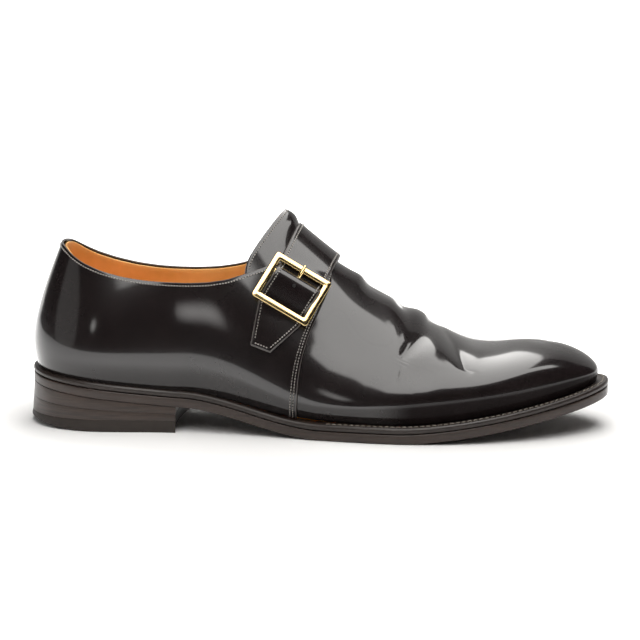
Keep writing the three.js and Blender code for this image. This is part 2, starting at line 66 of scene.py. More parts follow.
TIP = [[304, 5.5, 6.2, 0.8, 5.5, 0.34, 0.52, 0]]
MEDIAL = [
    [301, 18.5, 6.2, 0.8, 5.5, 0.36, 0.54, 0],
    [287, 34, 6.2, 1.0, 7, 0.54, 0.58, 0],
    [262, 45.6, 6.2, 1.6, 8.5, 0.66, 0.6, 0],
    [234, 51, 6.0, 2.4, 10, 0.62, 0.58, 0],
    [203, 50, 5.6, 2.8, 11, 0.44, 0.54, 0],
    [172, 41.4, 5.0, 4.0, 11, 0.3, 0.51, 0],
    [141, 31.6, 4.4, 5.0, 15, 0.38, 0.49, 0.02],
    [108, 27.8, 3.8, 4.4, 17, 0.32, 0.56, 0.2],
    [74, 30.4, 3.2, 3.0, 15, 0.3, 0.62, 0.34],
    [40, 32.4, 2.8, 2.4, 13, 0.28, 0.62, 0.37],
    [13, 24.2, 2.4, 2.0, 12, 0.25, 0.6, 0.4],
]
# the ridge at each station: x, y, z
TOP = [
    [24, 0, 108], [28, 0, 108.5], [46, 0, 111], [76, 0, 117], [107, 1, 128], [139, 2.5, 105.5],
    [171, 4, 79.6], [203, 6, 58.2], [234, 7.5, 43.2], [256, 8, 43.2], [267, 8, 43.2],
    [271, 8, 43], [272, 8, 42.8],
]
TIP_STATION = len(LATERAL)
LOOP = 2 * TIP_STATION
SOLE_STACK = 8.3  # outsole, gap and welt
FOOT_LIFT = 0.3  # of the upper's foot over the welt
BACK_TURN = 1.6  # stations over which the back of the heel turns
HALF_OPEN = 9  # half the gap between the two sides over the heel
OPEN_ENDS = 2.6, 5  # stations between which that gap closes
SEAT_FRONT, ARCH_FRONT = 82, 158
TOE_START, TOE_LENGTH = 198, 106
ARCH_RISE, HEEL_PITCH, TOE_SPRING = 13, 9, 17


def smoothstep(a, b, x):
    u = np.clip((x - a) / (b - a), 0, 1)
    return u * u * (3 - 2 * u)


def loop(values):
    """Periodic cubic spline through values at 0, 1, 2 ..."""
    v = np.asarray(values, float)
    n = len(v)
    eye = np.eye(n)
    turn = np.roll(v, 1) - 2 * v + np.roll(v, -1)
    bend = np.linalg.solve(4 * eye + np.roll(eye, 1, axis=1) + np.roll(eye, -1, axis=1), 6 * turn)

    def at(u):
        i = np.floor(u)
        b = u - i
        a = 1 - b
        i = i.astype(int) % n
        j = (i + 1) % n
        return a * v[i] + b * v[j] + ((a**3 - a) * bend[i] + (b**3 - b) * bend[j]) / 6

    return at


side_rows = np.array(LATERAL + TIP + MEDIAL)
side = {name: loop(side_rows[:, k]) for k, name in enumerate(COLUMNS)}
ridge_rows = np.array(TOP + TOP[-2:0:-1])
ridge = [loop(ridge_rows[:, k]) for k in range(3)]


def apart(u):
    """How far a rib's top lies to the side of the ridge: the two sides stand apart over the heel."""
    u = np.mod(u, LOOP)
    stations = np.minimum(u, LOOP - u)
    back = np.sin(np.pi / 2 * np.clip(stations / BACK_TURN, 0, 1))
    return np.sign(u - TIP_STATION) * HALF_OPEN * back * (1 - smoothstep(*OPEN_ENDS, stations))


def underside(x):
    """Height of the outsole's lower face."""
    arch = ARCH_RISE * smoothstep(ARCH_FRONT, SEAT_FRONT, x)
    pitch = HEEL_PITCH * np.clip((SEAT_FRONT - x) / SEAT_FRONT, 0, 1) ** 1.2
    return arch + pitch + TOE_SPRING * np.clip((x - TOE_START) / TOE_LENGTH, 0, 1) ** 1.5


def edge(u, inset):
    """The sole's edge at stations u, moved inwards."""
    u = np.asarray(u, float)
    step = 1e-3
    dx = side["x"](u + step) - side["x"](u - step)
    dy = side["y"](u + step) - side["y"](u - step)
    length = np.hypot(dx, dy)
    return side["x"](u) - dy / length * inset, side["y"](u) + dx / length * inset


def last(u, v):
    """Outer face of the upper: station u, v = 0 on the welt, 1 at its widest, 2 on the ridge."""
    u, v = np.broadcast_arrays(np.asarray(u, float), np.asarray(v, float))
    foot, swell, wide = (side[k](u) for k in ("foot", "swell", "wide"))
    low = np.clip(v, 0, 1)
    x, y = edge(u, foot - swell * (1 - (1 - low) ** 2))
    tuck = np.stack([x, y, underside(x) + SOLE_STACK + FOOT_LIFT + wide * low], -1)
    x, y = edge(u, foot - swell)
    z = underside(x) + SOLE_STACK + FOOT_LIFT + wide
    height = ridge[2](u) - z
    a = np.stack([x, y, z], -1)
    d = np.stack([ridge[0](u), ridge[1](u) + apart(u), ridge[2](u)], -1)
    b = a.copy()
    b[..., 2] += side["rise"](u) * height
    c = d + (a - d) * side["reach"](u)[..., None]
    c[..., 2] = d[..., 2] - side["drop"](u) * height
    t = np.clip(v - 1, 0, 1)[..., None]
    over = (1 - t) ** 3 * a + 3 * (1 - t) ** 2 * t * b + 3 * (1 - t) * t * t * c + t**3 * d
    return np.where((v <= 1)[..., None], tuck, over)


def unit(a):
    return a / np.maximum(np.linalg.norm(a, axis=-1, keepdims=True), 1e-12)


def last_normal(u, v):
    step = 4e-3
    along = last(u + step, v) - last(u - step, v)
    up = last(u, np.minimum(2, v + step)) - last(u, np.maximum(0, v - step))
    return unit(np.cross(along, up))


def grid_normal(p):
    """Normals of a grid of points, whose rows run to the toe and columns upwards."""
    return unit(np.cross(np.gradient(p, axis=0), np.gradient(p, axis=1)))


def arc(p):
    """Distance run along each row of a grid of points."""
    step = np.linalg.norm(np.diff(p, axis=1), axis=2)
    return np.concatenate([np.zeros((len(p), 1)), np.cumsum(step, axis=1)], axis=1)


# ------------------------------------------------------------------ pattern lines, side view
TILT = 0.02  # the inner side of the topline is the higher one
COLLAR_X = [
    -20, 10, 17, 21, 26, 33, 43, 54, 65, 76, 87, 98, 109, 119, 127, 136, 146, 153, 158.5, 166,
]
COLLAR_Z = [
    96, 95.8, 95.2, 93.6, 89.6, 85.7, 82.1, 79.4, 77.8, 77.1,
    77, 77.6, 79.4, 82.6, 85.2, 88, 89.8, 88.8, 86, 78,
]
SEAM_Z = [0, 13.9, 31, 40.8, 52.1, 63.9, 75.2, 79, 82.5, 86, 92]
SEAM_X = [144.6, 144.7, 145.8, 147.3, 150.4, 155.4, 160.4, 161.2, 160.6, 158.5, 153]
# back edge of the vamp and tongue; under the quarter it is hidden
VAMP_Z = [0, 13.9, 31, 40.8, 50, 58, 66, 74, 80, 84, 86.5, 90.5, 95.3, 101, 106, 109.4, 113]
VAMP_X = [
    138.6, 138.7, 139.8, 141, 142, 140, 132, 122, 118, 118, 118.4, 119.8, 122.8, 126.8, 130.6, 133.4, 137,
]


def soften(xs, ys, spread):
    """A polyline read at x, rounded over a spread."""
    fine = np.linspace(xs[0], xs[-1], 1200)
    gap = fine[1] - fine[0]
    reach = int(3 * spread / gap)
    kernel = np.exp(-0.5 * (np.arange(-reach, reach + 1) * gap / spread) ** 2)
    kernel /= kernel.sum()
    line = np.interp(fine, xs, ys)
    ends = [np.full(reach, line[0]), line, np.full(reach, line[-1])]
    smooth = np.convolve(np.concatenate(ends), kernel, "valid")
    return lambda x: np.interp(x, fine, smooth)


collar_z = soften(COLLAR_X, COLLAR_Z, 2.2)
seam_x = soften(SEAM_Z, SEAM_X, 1.6)
vamp_x = soften(VAMP_Z, VAMP_X, 1.2)


def bisect(f, low, high, steps=34):
    """Where the rising function f is zero, for arrays of bounds."""
    low, high = np.array(low, float), np.array(high, float)
    for _ in range(steps):
        mid = (low + high) / 2
        up = f(mid) > 0
        high = np.where(up, mid, high)
        low = np.where(up, low, mid)
    return (low + high) / 2


def station(u, inner):
    """The loop's station for one counted from the heel on the outer or the inner side."""
    return LOOP - u if inner else u


def level(p):
    """Height at which the pattern's lines read a point."""
    return p[..., 2] - TILT * p[..., 1]


def collar_v(u, inner):
    """v on the topline at stations u."""

    def over(v):
        p = last(station(u, inner), v)
        return level(p) - collar_z(p[..., 0])

    return bisect(over, np.full(u.shape, 1.0), np.full(u.shape, 2.0))


# the topline is read from a table of stations
LINE_U = np.linspace(0, 7.2, 400)
line_v = {inner: collar_v(LINE_U, inner) for inner in (False, True)}


def topline(u, inner):
    return np.interp(u, LINE_U, line_v[inner])


def line_station(line, v_at, shape, low, high, inner):
    """Station between low and high where the side reaches a line, at the v that v_at(station) gives."""

    def ahead(u):
        p = last(station(u, inner), v_at(u))
        return p[..., 0] - line(level(p))

    return bisect(ahead, np.full(shape, low), np.full(shape, high))


def quarter_front(t, inner):
    """Station of the quarter's front seam at the share t of its height."""
    return line_station(seam_x, lambda u: t * topline(u, inner), t.shape, 3.0, 7.2, inner)


def vamp_back(v, inner):
    """Station of the vamp's back edge at v."""
    return line_station(vamp_x, lambda u: v, v.shape, 2.5, 8.0, inner)


# ------------------------------------------------------------------ creases of the vamp
# Each row is a place on the crease: x, distance down from the ridge (positive on the outer side),
# depth, and the half-widths of its flanks towards the heel and towards the toe. soft is 1 for a
# sharp crack and 2 for a round trough.
CREASES = [
    # the long fold over the ball: a broad flank towards the heel, and below it a thin crack
    dict(soft=1.9, rows=[
        (214, -24, 0.0, 4, 4), (212.5, -12, 0.6, 5, 4), (211.2, -2, 0.9, 6, 4),
        (210.2, 5, 1.2, 6.5, 4.5),
        (209.2, 14, 1.5, 6.5, 5), (207.6, 24, 1.7, 6, 5), (205.6, 31, 1.8, 5, 5), (203, 38, 1.7, 4, 4.5),
        (200.4, 43, 1.4, 3, 3.5), (198.8, 48, 0.8, 1.8, 2.2), (197.2, 57, 0.34, 0.8, 1.1),
        (196.3, 67, 0.38, 0.8, 1.1), (195.7, 77, 0.0, 0.8, 1),
    ]),
    # the fold in front of it, a broad flank that narrows to a tail
    dict(soft=1.4, rows=[
        (213, -16, 0.0, 5, 5), (217, -4, 0.5, 7, 6), (220.2, 7, 0.9, 7, 6), (223.4, 15, 1.2, 7, 5.5),
        (226, 24, 1.4, 6.5, 4.5), (227.8, 33, 1.4, 4.4, 3.4), (229.4, 40, 1.1, 2.8, 2.4),
        (231, 46, 0.8, 2, 1.8),
        (232.2, 52, 0.45, 1.6, 1.5), (233, 58, 0.0, 1.3, 1.3),
    ]),
    # a small hollow between the two at the patch's foot
    dict(soft=2, rows=[(199, 66, 0.0, 4, 4), (207, 67, 0.5, 5, 5), (216, 62, 0.0, 4, 4)]),
    # folds on the inner side
    dict(soft=1.5, rows=[
        (203, -64, 0.0, 3, 4), (201, -50, 1.4, 2.5, 5), (203, -36, 1.6, 2.5, 6), (208, -22, 0.0, 3, 5),
    ]),
    dict(soft=1.7, rows=[
        (222, -58, 0.0, 3, 4), (219, -44, 1.3, 3, 4.5), (215, -30, 1.2, 3, 4.5), (211, -18, 0.0, 3, 4),
    ]),
]
# The waves of the worn ridge: height over the last, at x.
RIDGE_X = [
    150, 163, 169, 174.6, 180, 187.6, 192, 197, 199.6, 203.5, 207.6, 212, 219, 226, 233, 240, 253, 266,
]
RIDGE_UP = [0, -0.2, 0.3, 1.2, -1.5, -1.0, -0.6, -2.3, -0.6, 1.6, 2.2, 0.2, 0.1, -0.5, -0.8, -0.4, 0.2, 0]
RIDGE_ROUNDING = 1.1
WAVE_FALL, WAVE_GROWTH, WAVE_GROWS = 11, 7, (198, 205)  # how far down the waves reach, and where that grows
CREASE_STEPS, CREASE_EVENING = 90, 9
SHOULDER_UP, SHOULDER_AT, SHOULDER_BREADTH = 0.1, 2.1, 0.9  # the low bulge beside a crease, in its half-widths
# Soft swellings: x, down, height, half-length, half-breadth
SWELLINGS = [
    (137.5, -1, 4.2, 5.5, 15),
    (193, 12, 0.9, 8, 14),
    (214, 44, 0.6, 10, 14),
    (172, 34, 0.9, 10, 14),
]


def crease_height(x, s):
    """Height of the leather's relief over the last at x and the distance s down from the ridge."""
    ridge_up = soften(RIDGE_X, RIDGE_UP, RIDGE_ROUNDING)
    fall = WAVE_FALL + WAVE_GROWTH * smoothstep(*WAVE_GROWS, x)
    height = ridge_up(x) * np.exp(-np.abs(s / fall) ** 2.2)
    for crease in CREASES:
        rows = np.array(crease["rows"], float)
        run = np.concatenate([[0], np.cumsum(np.hypot(*np.diff(rows[:, :2], axis=0).T))])
        fine = np.linspace(0, run[-1], CREASE_STEPS)
        kernel = np.ones(CREASE_EVENING) / CREASE_EVENING
        read = [np.pad(np.interp(fine, run, rows[:, k]), CREASE_EVENING // 2, mode="edge") for k in range(5)]
        px, ps, deep, back, ahead = (np.convolve(line, kernel, "valid") for line in read)
        best = np.full(x.shape, 1e9)
        across, here, near_back, near_ahead = (np.zeros(x.shape) for _ in range(4))
        for k in range(len(fine) - 1):
            ex, es = px[k + 1] - px[k], ps[k + 1] - ps[k]
            t = np.clip(((x - px[k]) * ex + (s - ps[k]) * es) / (ex * ex + es * es), 0, 1)
            dx, ds = x - px[k] - t * ex, s - ps[k] - t * es
            far = np.hypot(dx, ds)
            near = far < best
            best = np.where(near, far, best)
            turn = np.sign(dx * es - ds * ex) * np.sign(ps[-1] - ps[0])
            across = np.where(near, far * turn, across)
            here = np.where(near, deep[k] + t * (deep[k + 1] - deep[k]), here)
            near_back = np.where(near, back[k], near_back)
            near_ahead = np.where(near, ahead[k], near_ahead)
        share = np.where(across < 0, -across / near_back, across / near_ahead)
        height -= here * np.exp(-(share ** crease["soft"]))
        height += SHOULDER_UP * here * np.exp(-(((share - SHOULDER_AT) / SHOULDER_BREADTH) ** 2))
    for cx, cs, up, long, broad in SWELLINGS:
        height += up * np.exp(-(((x - cx) / long) ** 2) - ((s - cs) / broad) ** 2)
    return height


# ------------------------------------------------------------------ making pieces
def to_world(p):
    return (np.asarray(p, float).reshape(-1, 3) - MIDDLE) / 1000


def make(name, points, faces, material, slot, nodes, sharp=35, rim=None):
    """A shown piece on the one body. Its faces from number rim on have a lighter colour: painted highlight along
    the cut edges.
    """
    mesh = bpy.data.meshes.new(name)
    mesh.from_pydata(to_world(points).tolist(), [], [tuple(int(i) for i in f) for f in faces])
    mesh.update()
    piece = bpy.data.objects.new(name, mesh)
    bpy.context.scene.collection.objects.link(piece)
    mesh.materials.append(material)
    if rim:
        mesh.materials.append(RIM_HIGHLIGHT)
        for k in range(rim, len(faces)):
            mesh.polygons[k].material_index = 1
    mesh.shade_smooth()
    mesh.set_sharp_from_angle(angle=math.radians(sharp))
    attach(piece, "root")
    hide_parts(*nodes)
    return piece


def grid_faces(n, m, first=0, flip=False, ring=False):
    """Quads of n rows of m points. ring joins the last row to the first."""
    faces = []
    for i in range(n if ring else n - 1):
        for j in range(m - 1):
            a, b = first + i * m + j, first + ((i + 1) % n) * m + j
            faces.append((a, a + 1, b + 1, b) if flip else (a, b, b + 1, a + 1))
    return faces


def closed_faces(n, m):
    """Quads of a closed section of m points taken round n places."""
    faces = []
    for i in range(n):
        a, b = i * m, ((i + 1) % n) * m
        for j in range(m):
            k = (j + 1) % m
            faces.append((a + j, b + j, b + k, a + k))
    return faces


def both_faces(n, m):
    """Quads of a sheet's outer grid and of the inner one, whose points follow it."""
    return grid_faces(n, m) + grid_faces(n, m, n * m, flip=True)


def face_count(grid):
    return 2 * (grid.shape[0] - 1) * (grid.shape[1] - 1)


def within(i, n):
    return min(max(i, 1), n - 2)


def rounded_rim(face, normal, ring, towards, thick, lip, flip=False):
    """Rows of points that round a sheet's edge off from its outer face to its inner one, and their quads.
    ring lists the edge's places in the grid, and towards(i, j) is the place's neighbour further in."""
    n, m = face.shape[:2]
    ids = np.array([i * m + j for i, j in ring])
    up = normal.reshape(-1, 3)[ids]
    away = np.array([face[i, j] - face[towards(i, j)] for i, j in ring])
    away -= up * (away * up).sum(1, keepdims=True)
    away = unit(away)
    middle = face.reshape(-1, 3)[ids] - up * thick * 0.5
    rows = []
    for angle in (45, 90, 135):
        a = math.radians(angle)
        rows.append(middle + away * lip * math.sin(a) + up * thick * 0.5 * math.cos(a))
    count = len(ring)
    loops = [ids] + [2 * n * m + k * count + np.arange(count) for k in range(len(rows))] + [ids + n * m]
    quads = []
    for low, high in zip(loops[:-1], loops[1:]):
        for k in range(count):
            q = (k + 1) % count
            quads.append((low[k], low[q], high[q], high[k]) if flip else (low[k], high[k], high[q], low[q]))
    return rows, quads


def shell(outer, normal, thick, lips=0.45):
    """Closed shell under a grid of outer points. Its lips are rounded where it ends."""
    n, m = outer.shape[:2]
    ring = (
        [(i, 0) for i in range(n)]
        + [(n - 1, j) for j in range(1, m)]
        + [(i, m - 1) for i in range(n - 2, -1, -1)]
        + [(0, j) for j in range(m - 2, 0, -1)]
    )
    rows, rim = rounded_rim(
        outer, normal, ring, lambda i, j: (within(i, n), within(j, m)), thick, min(lips, thick / 2)
    )
    inner = outer - normal * thick
    return np.concatenate([outer.reshape(-1, 3), inner.reshape(-1, 3)] + rows), both_faces(n, m) + rim


def tube(path, radius, segments=6):
    """Closed round cord along a path of points. radius is one number or one for each point."""
    path = np.asarray(path, float)
    along = unit(np.gradient(path, axis=0))
    aid = np.array([0.0, 0.0, 1.0]) if abs(along[0][2]) < 0.9 else np.array([1.0, 0, 0])
    points = []
    radii = np.full(len(path), radius) if np.isscalar(radius) else np.asarray(radius)
    for p, d, r in zip(path, along, radii):
        e = unit(np.cross(d, aid))
        f = np.cross(e, d)
        for k in range(segments):
            a = 2 * math.pi * k / segments
            points.append(p + r * (math.cos(a) * e + math.sin(a) * f))
    n = len(path)
    faces = []
    for i in range(n - 1):
        a, b = i * segments, (i + 1) * segments
        for k in range(segments):
            q = (k + 1) % segments
            faces.append((a + k, b + k, b + q, a + q))
    faces.append(tuple(range(segments)))
    faces.append(tuple((n - 1) * segments + k for k in range(segments - 1, -1, -1)))
    return np.array(points), faces


def without_repeats(face):
    """A list of the face without repeated corners, empty when fewer than three are left."""
    clean = tuple(q for k, q in enumerate(face) if q != face[k - 1])
    return [clean] if len(clean) >= 3 else []


class Batch:
    """Several closed bodies in one piece."""

    def __init__(self):
        self.points, self.faces, self.count = [], [], 0

    def add(self, points, faces):
        self.points.append(points)
        self.faces += [tuple(int(i) + self.count for i in f) for f in faces]
        self.count += len(points)

    def make(self, name, *rest):
        return make(name, np.concatenate(self.points), self.faces, *rest)


GROOVE_RADIUS, GROOVE_END = 0.2, 0.2
STITCH_START, STITCH_RADIUS, STITCH_JITTER = 0.4, 0.33, 0.02
STITCH_SHARES, STITCH_LIFTS = [0, 0.25, 0.75, 1], [-0.2, 0.2, 0.2, -0.2]
STITCH_TAPER = [0.6, 1.0, 1.0, 0.6]


def along_path(values, run, at):
    """Values given at distances run, read at other distances."""
    return np.stack([np.interp(at, run, values[:, k]) for k in range(3)], 1)


def stitches(batch, path, normal, length=0.75, gap=0.75, groove=None):
    """A row of short sunk stitches along a path lying on the leather."""
    path, normal = np.asarray(path, float), np.asarray(normal, float)
    run = np.concatenate([[0], np.cumsum(np.linalg.norm(np.diff(path, axis=0), axis=1))])
    if groove is not None:
        at = np.linspace(GROOVE_END, run[-1] - GROOVE_END, max(2, int(run[-1])))
        groove.add(*tube(along_path(path, run, at), GROOVE_RADIUS))
    start = STITCH_START
    while start + length < run[-1]:
        at = np.array(STITCH_SHARES) * length + start
        up = unit(along_path(normal, run, at))
        lift = np.array(STITCH_LIFTS)[:, None] + rng.normal(0, STITCH_JITTER)
        batch.add(*tube(along_path(path, run, at) + up * lift, STITCH_RADIUS * np.array(STITCH_TAPER)))
        start += length + gap


# ------------------------------------------------------------------ materials
def put(node, values):
    """Sets a node's inputs, given by name with underscores for the spaces."""
    for key, value in values.items():
        node.inputs[key.replace("_", " ")].default_value = value


class Surface:
    """A Principled material and the nodes that drive it."""

    def __init__(self, name):
        self.material = bpy.data.materials.new(name)
        self.material.use_nodes = True
        self.nodes, self.link = self.material.node_tree.nodes, self.material.node_tree.links.new
        self.shader = self.nodes["Principled BSDF"]

    def new(self, kind, **values):
        node = self.nodes.new("ShaderNode" + kind)
        put(node, values)
        return node

    def set(self, **values):
        put(self.shader, values)

    def drive(self, key, value):
        self.link(value, self.shader.inputs[key])

    def attribute(self, name):
        where = self.new("Attribute")
        where.attribute_name = name
        return where.outputs["Fac"]

    def noise(self, scale, detail=4, rough=0.55, stretch=None):
        where = self.new("TexCoord").outputs["Object"]
        if stretch:
            place = self.new("Mapping", Scale=stretch)
            self.link(where, place.inputs["Vector"])
            where = place.outputs["Vector"]
        grain = self.new("TexNoise", Scale=scale, Detail=detail, Roughness=rough)
        self.link(where, grain.inputs["Vector"])
        return grain.outputs["Fac"]

    def spread(self, value, low, high, from_low=0.3, from_high=0.7, smooth=False):
        """The value, taken from one range to another."""
        span = self.new("MapRange", From_Min=from_low, From_Max=from_high, To_Min=low, To_Max=high)
        if smooth:
            span.interpolation_type = "SMOOTHSTEP"
        self.link(value, span.inputs["Value"])
        return span.outputs["Result"]

    def tint(self, value, low, high):
        ramp = self.new("ValToRGB")
        for stop, position, colour in zip(ramp.color_ramp.elements, (0.35, 0.65), (low, high)):
            stop.position, stop.color = position, (*colour, 1)
        self.link(value, ramp.inputs["Fac"])
        self.drive("Base Color", ramp.outputs["Color"])

    def bump(self, value, distance, strength):
        relief = self.new("Bump", Strength=strength, Distance=distance)
        self.link(value, relief.inputs["Height"])
        self.drive("Normal", relief.outputs["Normal"])


def polished_leather(name, dulled=False):
    """Glossy dark leather. On a dulled piece the attribute "dull" takes the polish away."""
    s = Surface(name)
    s.tint(s.noise(60, 5), (0.008, 0.0056, 0.0056), (0.011, 0.0078, 0.0078))
    s.drive("Roughness", s.spread(s.noise(35), 0.2, 0.3))
    s.set(Coat_Weight=1.0, Specular_IOR_Level=0.22, Coat_Roughness=0.07, Coat_IOR=1.52)
    if dulled:
        dull = s.attribute("dull")
        s.drive("Coat Weight", s.spread(dull, 1.0, 0.05, 0, 1))
        s.drive("Specular IOR Level", s.spread(dull, 0.22, 0.03, 0, 1))
    s.bump(s.noise(1500, 2), 0.00001, 0.2)
    return s.material


def tan_leather(name):
    s = Surface(name)
    s.tint(s.noise(45, 5), (0.80, 0.40, 0.11), (0.95, 0.53, 0.18))
    s.set(Roughness=0.5, Specular_IOR_Level=0.35)
    s.bump(s.noise(1400), 0.00006, 0.5)
    return s.material


def edge_leather(name, low, high):
    """Stained edges of stacked leather, in fine layers."""
    s = Surface(name)
    s.tint(s.noise(60, 6, 0.6, stretch=(1, 1, 22)), low, high)
    s.drive("Roughness", s.spread(s.noise(90), 0.32, 0.5))
    s.set(Coat_Weight=0.12, Coat_Roughness=0.3)
    s.bump(s.noise(260, 5, 0.6, stretch=(1, 1, 8)), 0.00015, 0.6)
    return s.material


def plain(name, colour, rough):
    s = Surface(name)
    s.tint(s.noise(200, 3), tuple(c * 0.85 for c in colour), colour)
    s.set(Roughness=rough)
    return s.material


def brass(name):
    s = Surface(name)
    s.tint(s.noise(120), (0.86, 0.62, 0.27), (0.95, 0.73, 0.36))
    s.drive("Roughness", s.spread(s.noise(300), 0.1, 0.18))
    s.set(Metallic=1.0)
    return s.material


UPPER = polished_leather("upper_leather")
VAMP = polished_leather("vamp_leather", dulled=True)
# the rims' lighter colour is painted highlight along the cut edges
RIM_HIGHLIGHT = plain("cut_edges_painted_highlight", (0.085, 0.075, 0.07), 0.35)
LINING = tan_leather("lining_leather")
WELT_EDGE = edge_leather("welt_leather", (0.012, 0.0075, 0.006), (0.026, 0.0165, 0.0125))
SOLE_EDGE = edge_leather("sole_leather", (0.022, 0.0135, 0.010), (0.044, 0.0265, 0.0195))
HEEL_EDGE = edge_leather("heel_leather", (0.024, 0.0155, 0.012), (0.050, 0.031, 0.023))
RUBBER = plain("heel_rubber", (0.026, 0.018, 0.014), 0.6)
BRASS = brass("buckle_brass")
# the thread is dark: its light grey colour is painted glint
THREAD = plain("dark_thread_painted_glint", (0.42, 0.39, 0.36), 0.6)
PALE_THREAD = plain("welt_thread", (0.26, 0.235, 0.2), 0.8)

# ------------------------------------------------------------------ upper
LEATHER = 1.15  # outer leather; the lining is under it
LINING_THICK = 0.95
SUNK = 1.2  # the vamp lies this much lower under the quarter
SINK_RUN = 34  # and comes up over this distance in front of it
TOPLINE_SHARE = 0.8  # of the distance over the topline that counts towards it
LAYER_GAP = 0.05
VAMP_SPREAD = 0.85  # gathers the vamp's columns towards its feet
VAMP_LIP = 0.42  # of its thickness
DULL_V, DULL_X = (1.2, 0.9), (182, 206)  # where the polish ends, down the wall and along the shoe


def quarters_grid(n, m, drop_top=0.0):
    """Points, normals of both quarters in one band round the heel, from seam to seam."""
    t = np.linspace(0, 1, m)
    share = np.linspace(-1, 1, n)
    u = np.zeros((n, m))
    v = np.zeros((n, m))
    fronts = {inner: quarter_front(t, inner) for inner in (False, True)}
    for i, a in enumerate(share):
        inner = a < 0
        near = abs(a) * fronts[inner]
        u[i] = station(near, inner)
        v[i] = t * topline(near, inner)
    v = v * (1 - drop_top)
    return last(u, v), last_normal(u, v)


quarter, quarter_n = quarters_grid(361, 100)
points, faces = shell(quarter, quarter_n, LEATHER)
make("quarters", points, faces, UPPER, "upper_leather", ["upper"], rim=face_count(quarter))


def vamp_grid(n, m):
    """The vamp and its tongue: station and v from the outer foot over the ridge to the inner foot."""
    w = np.linspace(-1, 1, m)
    v = 2 * (1 - np.abs(w)) ** VAMP_SPREAD
    back = np.where(w <= 0, vamp_back(v, False), vamp_back(v, True))
    a = np.linspace(0, 1, n)[:, None]
    u = back[None, :] + a * (TIP_STATION - back[None, :])
    loop_u = np.where(w[None, :] <= 0, u, LOOP - u)
    p = last(loop_u, v[None, :])
    nrm = last_normal(loop_u, np.broadcast_to(v[None, :], u.shape))
    middle = m // 2
    ends, tops = u[:, middle], np.full(n, 2.0)
    nrm[:, middle] = unit(last_normal(ends, tops) + last_normal(LOOP - ends, tops))
    return p, nrm, v


# the lining takes every third row and second column, so both counts are one more than a multiple
vamp, vamp_n, vamp_v = vamp_grid(271, 173)
run, middle = arc(vamp), vamp.shape[1] // 2
down = run[:, middle : middle + 1] - run  # positive on the outer side
seam_gap = vamp[..., 0] - seam_x(level(vamp))
under_top = level(vamp) - collar_z(vamp[..., 0])
clear = np.maximum(seam_gap, under_top * TOPLINE_SHARE)
sunk = SUNK * (1 - smoothstep(0, SINK_RUN, clear))
relief = crease_height(vamp[..., 0], down)
vamp_face = vamp + vamp_n * (relief - sunk)[..., None]


def weld_toe(points, n, m):
    """The last row folds on itself at the toe's middle: its two halves are the same points, and the point at the
    fold joins its neighbour, so that no two faces lie on each other there."""
    index = np.arange(len(points))
    for j in range(m // 2, m):
        for base in (0, n * m):
            index[base + (n - 1) * m + j] = base + (n - 1) * m + min(m - 1 - j, m // 2 - 1)
    return index


def make_vamp(name, face, thick, mat, slot, nodes, dull=None):
    """A closed sheet over the whole forepart, folded round the toe."""
    n, m = face.shape[:2]
    half = m // 2
    face = face.copy()
    face[n - 1, half + 1 :] = face[n - 1, :half][::-1]
    # the toe's middle rib is shared, so normals are taken over the fold
    wide = np.concatenate([face, face[n - 2 : n - 1, ::-1]], axis=0)
    nrm = grid_normal(wide)[:n]
    inner = face - nrm * thick
    inner[n - 1, half + 1 :] = inner[n - 1, :half][::-1]
    inner[n - 1, half] = inner[n - 2, half] * 0.5 + inner[n - 1, half] * 0.5
    points = np.concatenate([face.reshape(-1, 3), inner.reshape(-1, 3)])
    index = weld_toe(points, n, m)
    # rim: from the outer foot's toe end back, up over the tongue, and forward along the inner foot
    ring = (
        [(i, 0) for i in range(n - 1, -1, -1)]
        + [(0, j) for j in range(1, m)]
        + [(i, m - 1) for i in range(1, n - 1)]
    )
    rows, rim = rounded_rim(
        face, nrm, ring, lambda i, j: (max(i, 1), within(j, m)), thick, thick * VAMP_LIP, flip=True
    )
    first = len(points)
    points = np.concatenate([points] + rows)
    faces = both_faces(n, m) + rim
    index = np.concatenate([index, np.arange(first, len(points))])
    welded = [f for face in faces for f in without_repeats([int(index[i]) for i in face])]
    used = np.unique(np.concatenate([np.array(f) for f in welded]))
    new = -np.ones(len(points), int)
    new[used] = np.arange(len(used))
    welded = [tuple(int(new[i]) for i in f) for f in welded]
    piece = make(name, points[used], welded, mat, slot, nodes)
    if dull is not None:
        values = np.zeros(len(points))
        values[: n * m] = dull.ravel()
        piece.data.attributes.new("dull", "FLOAT", "POINT").data.foreach_set("value", values[used])
    return piece


foot_dull = smoothstep(*DULL_V, vamp_v)[None, :] * smoothstep(*DULL_X, vamp[..., 0])
make_vamp("vamp_and_tongue", vamp_face, LEATHER, VAMP, "upper_leather", ["upper", "tongue"], foot_dull)

# linings, just under the outer leather
lining, lining_n = quarters_grid(181, 50, drop_top=0.004)
points, faces = shell(lining - lining_n * (LEATHER + SUNK + LAYER_GAP), lining_n, LINING_THICK)
make("quarter_lining", points, faces, LINING, "lining_leather", ["upper"])
under = (relief - sunk)[::3, ::2, None] - LEATHER - LAYER_GAP
lining = vamp[::3, ::2] + vamp_n[::3, ::2] * under
make_vamp("vamp_lining", lining, LINING_THICK, LINING, "lining_leather", ["upper", "tongue"])

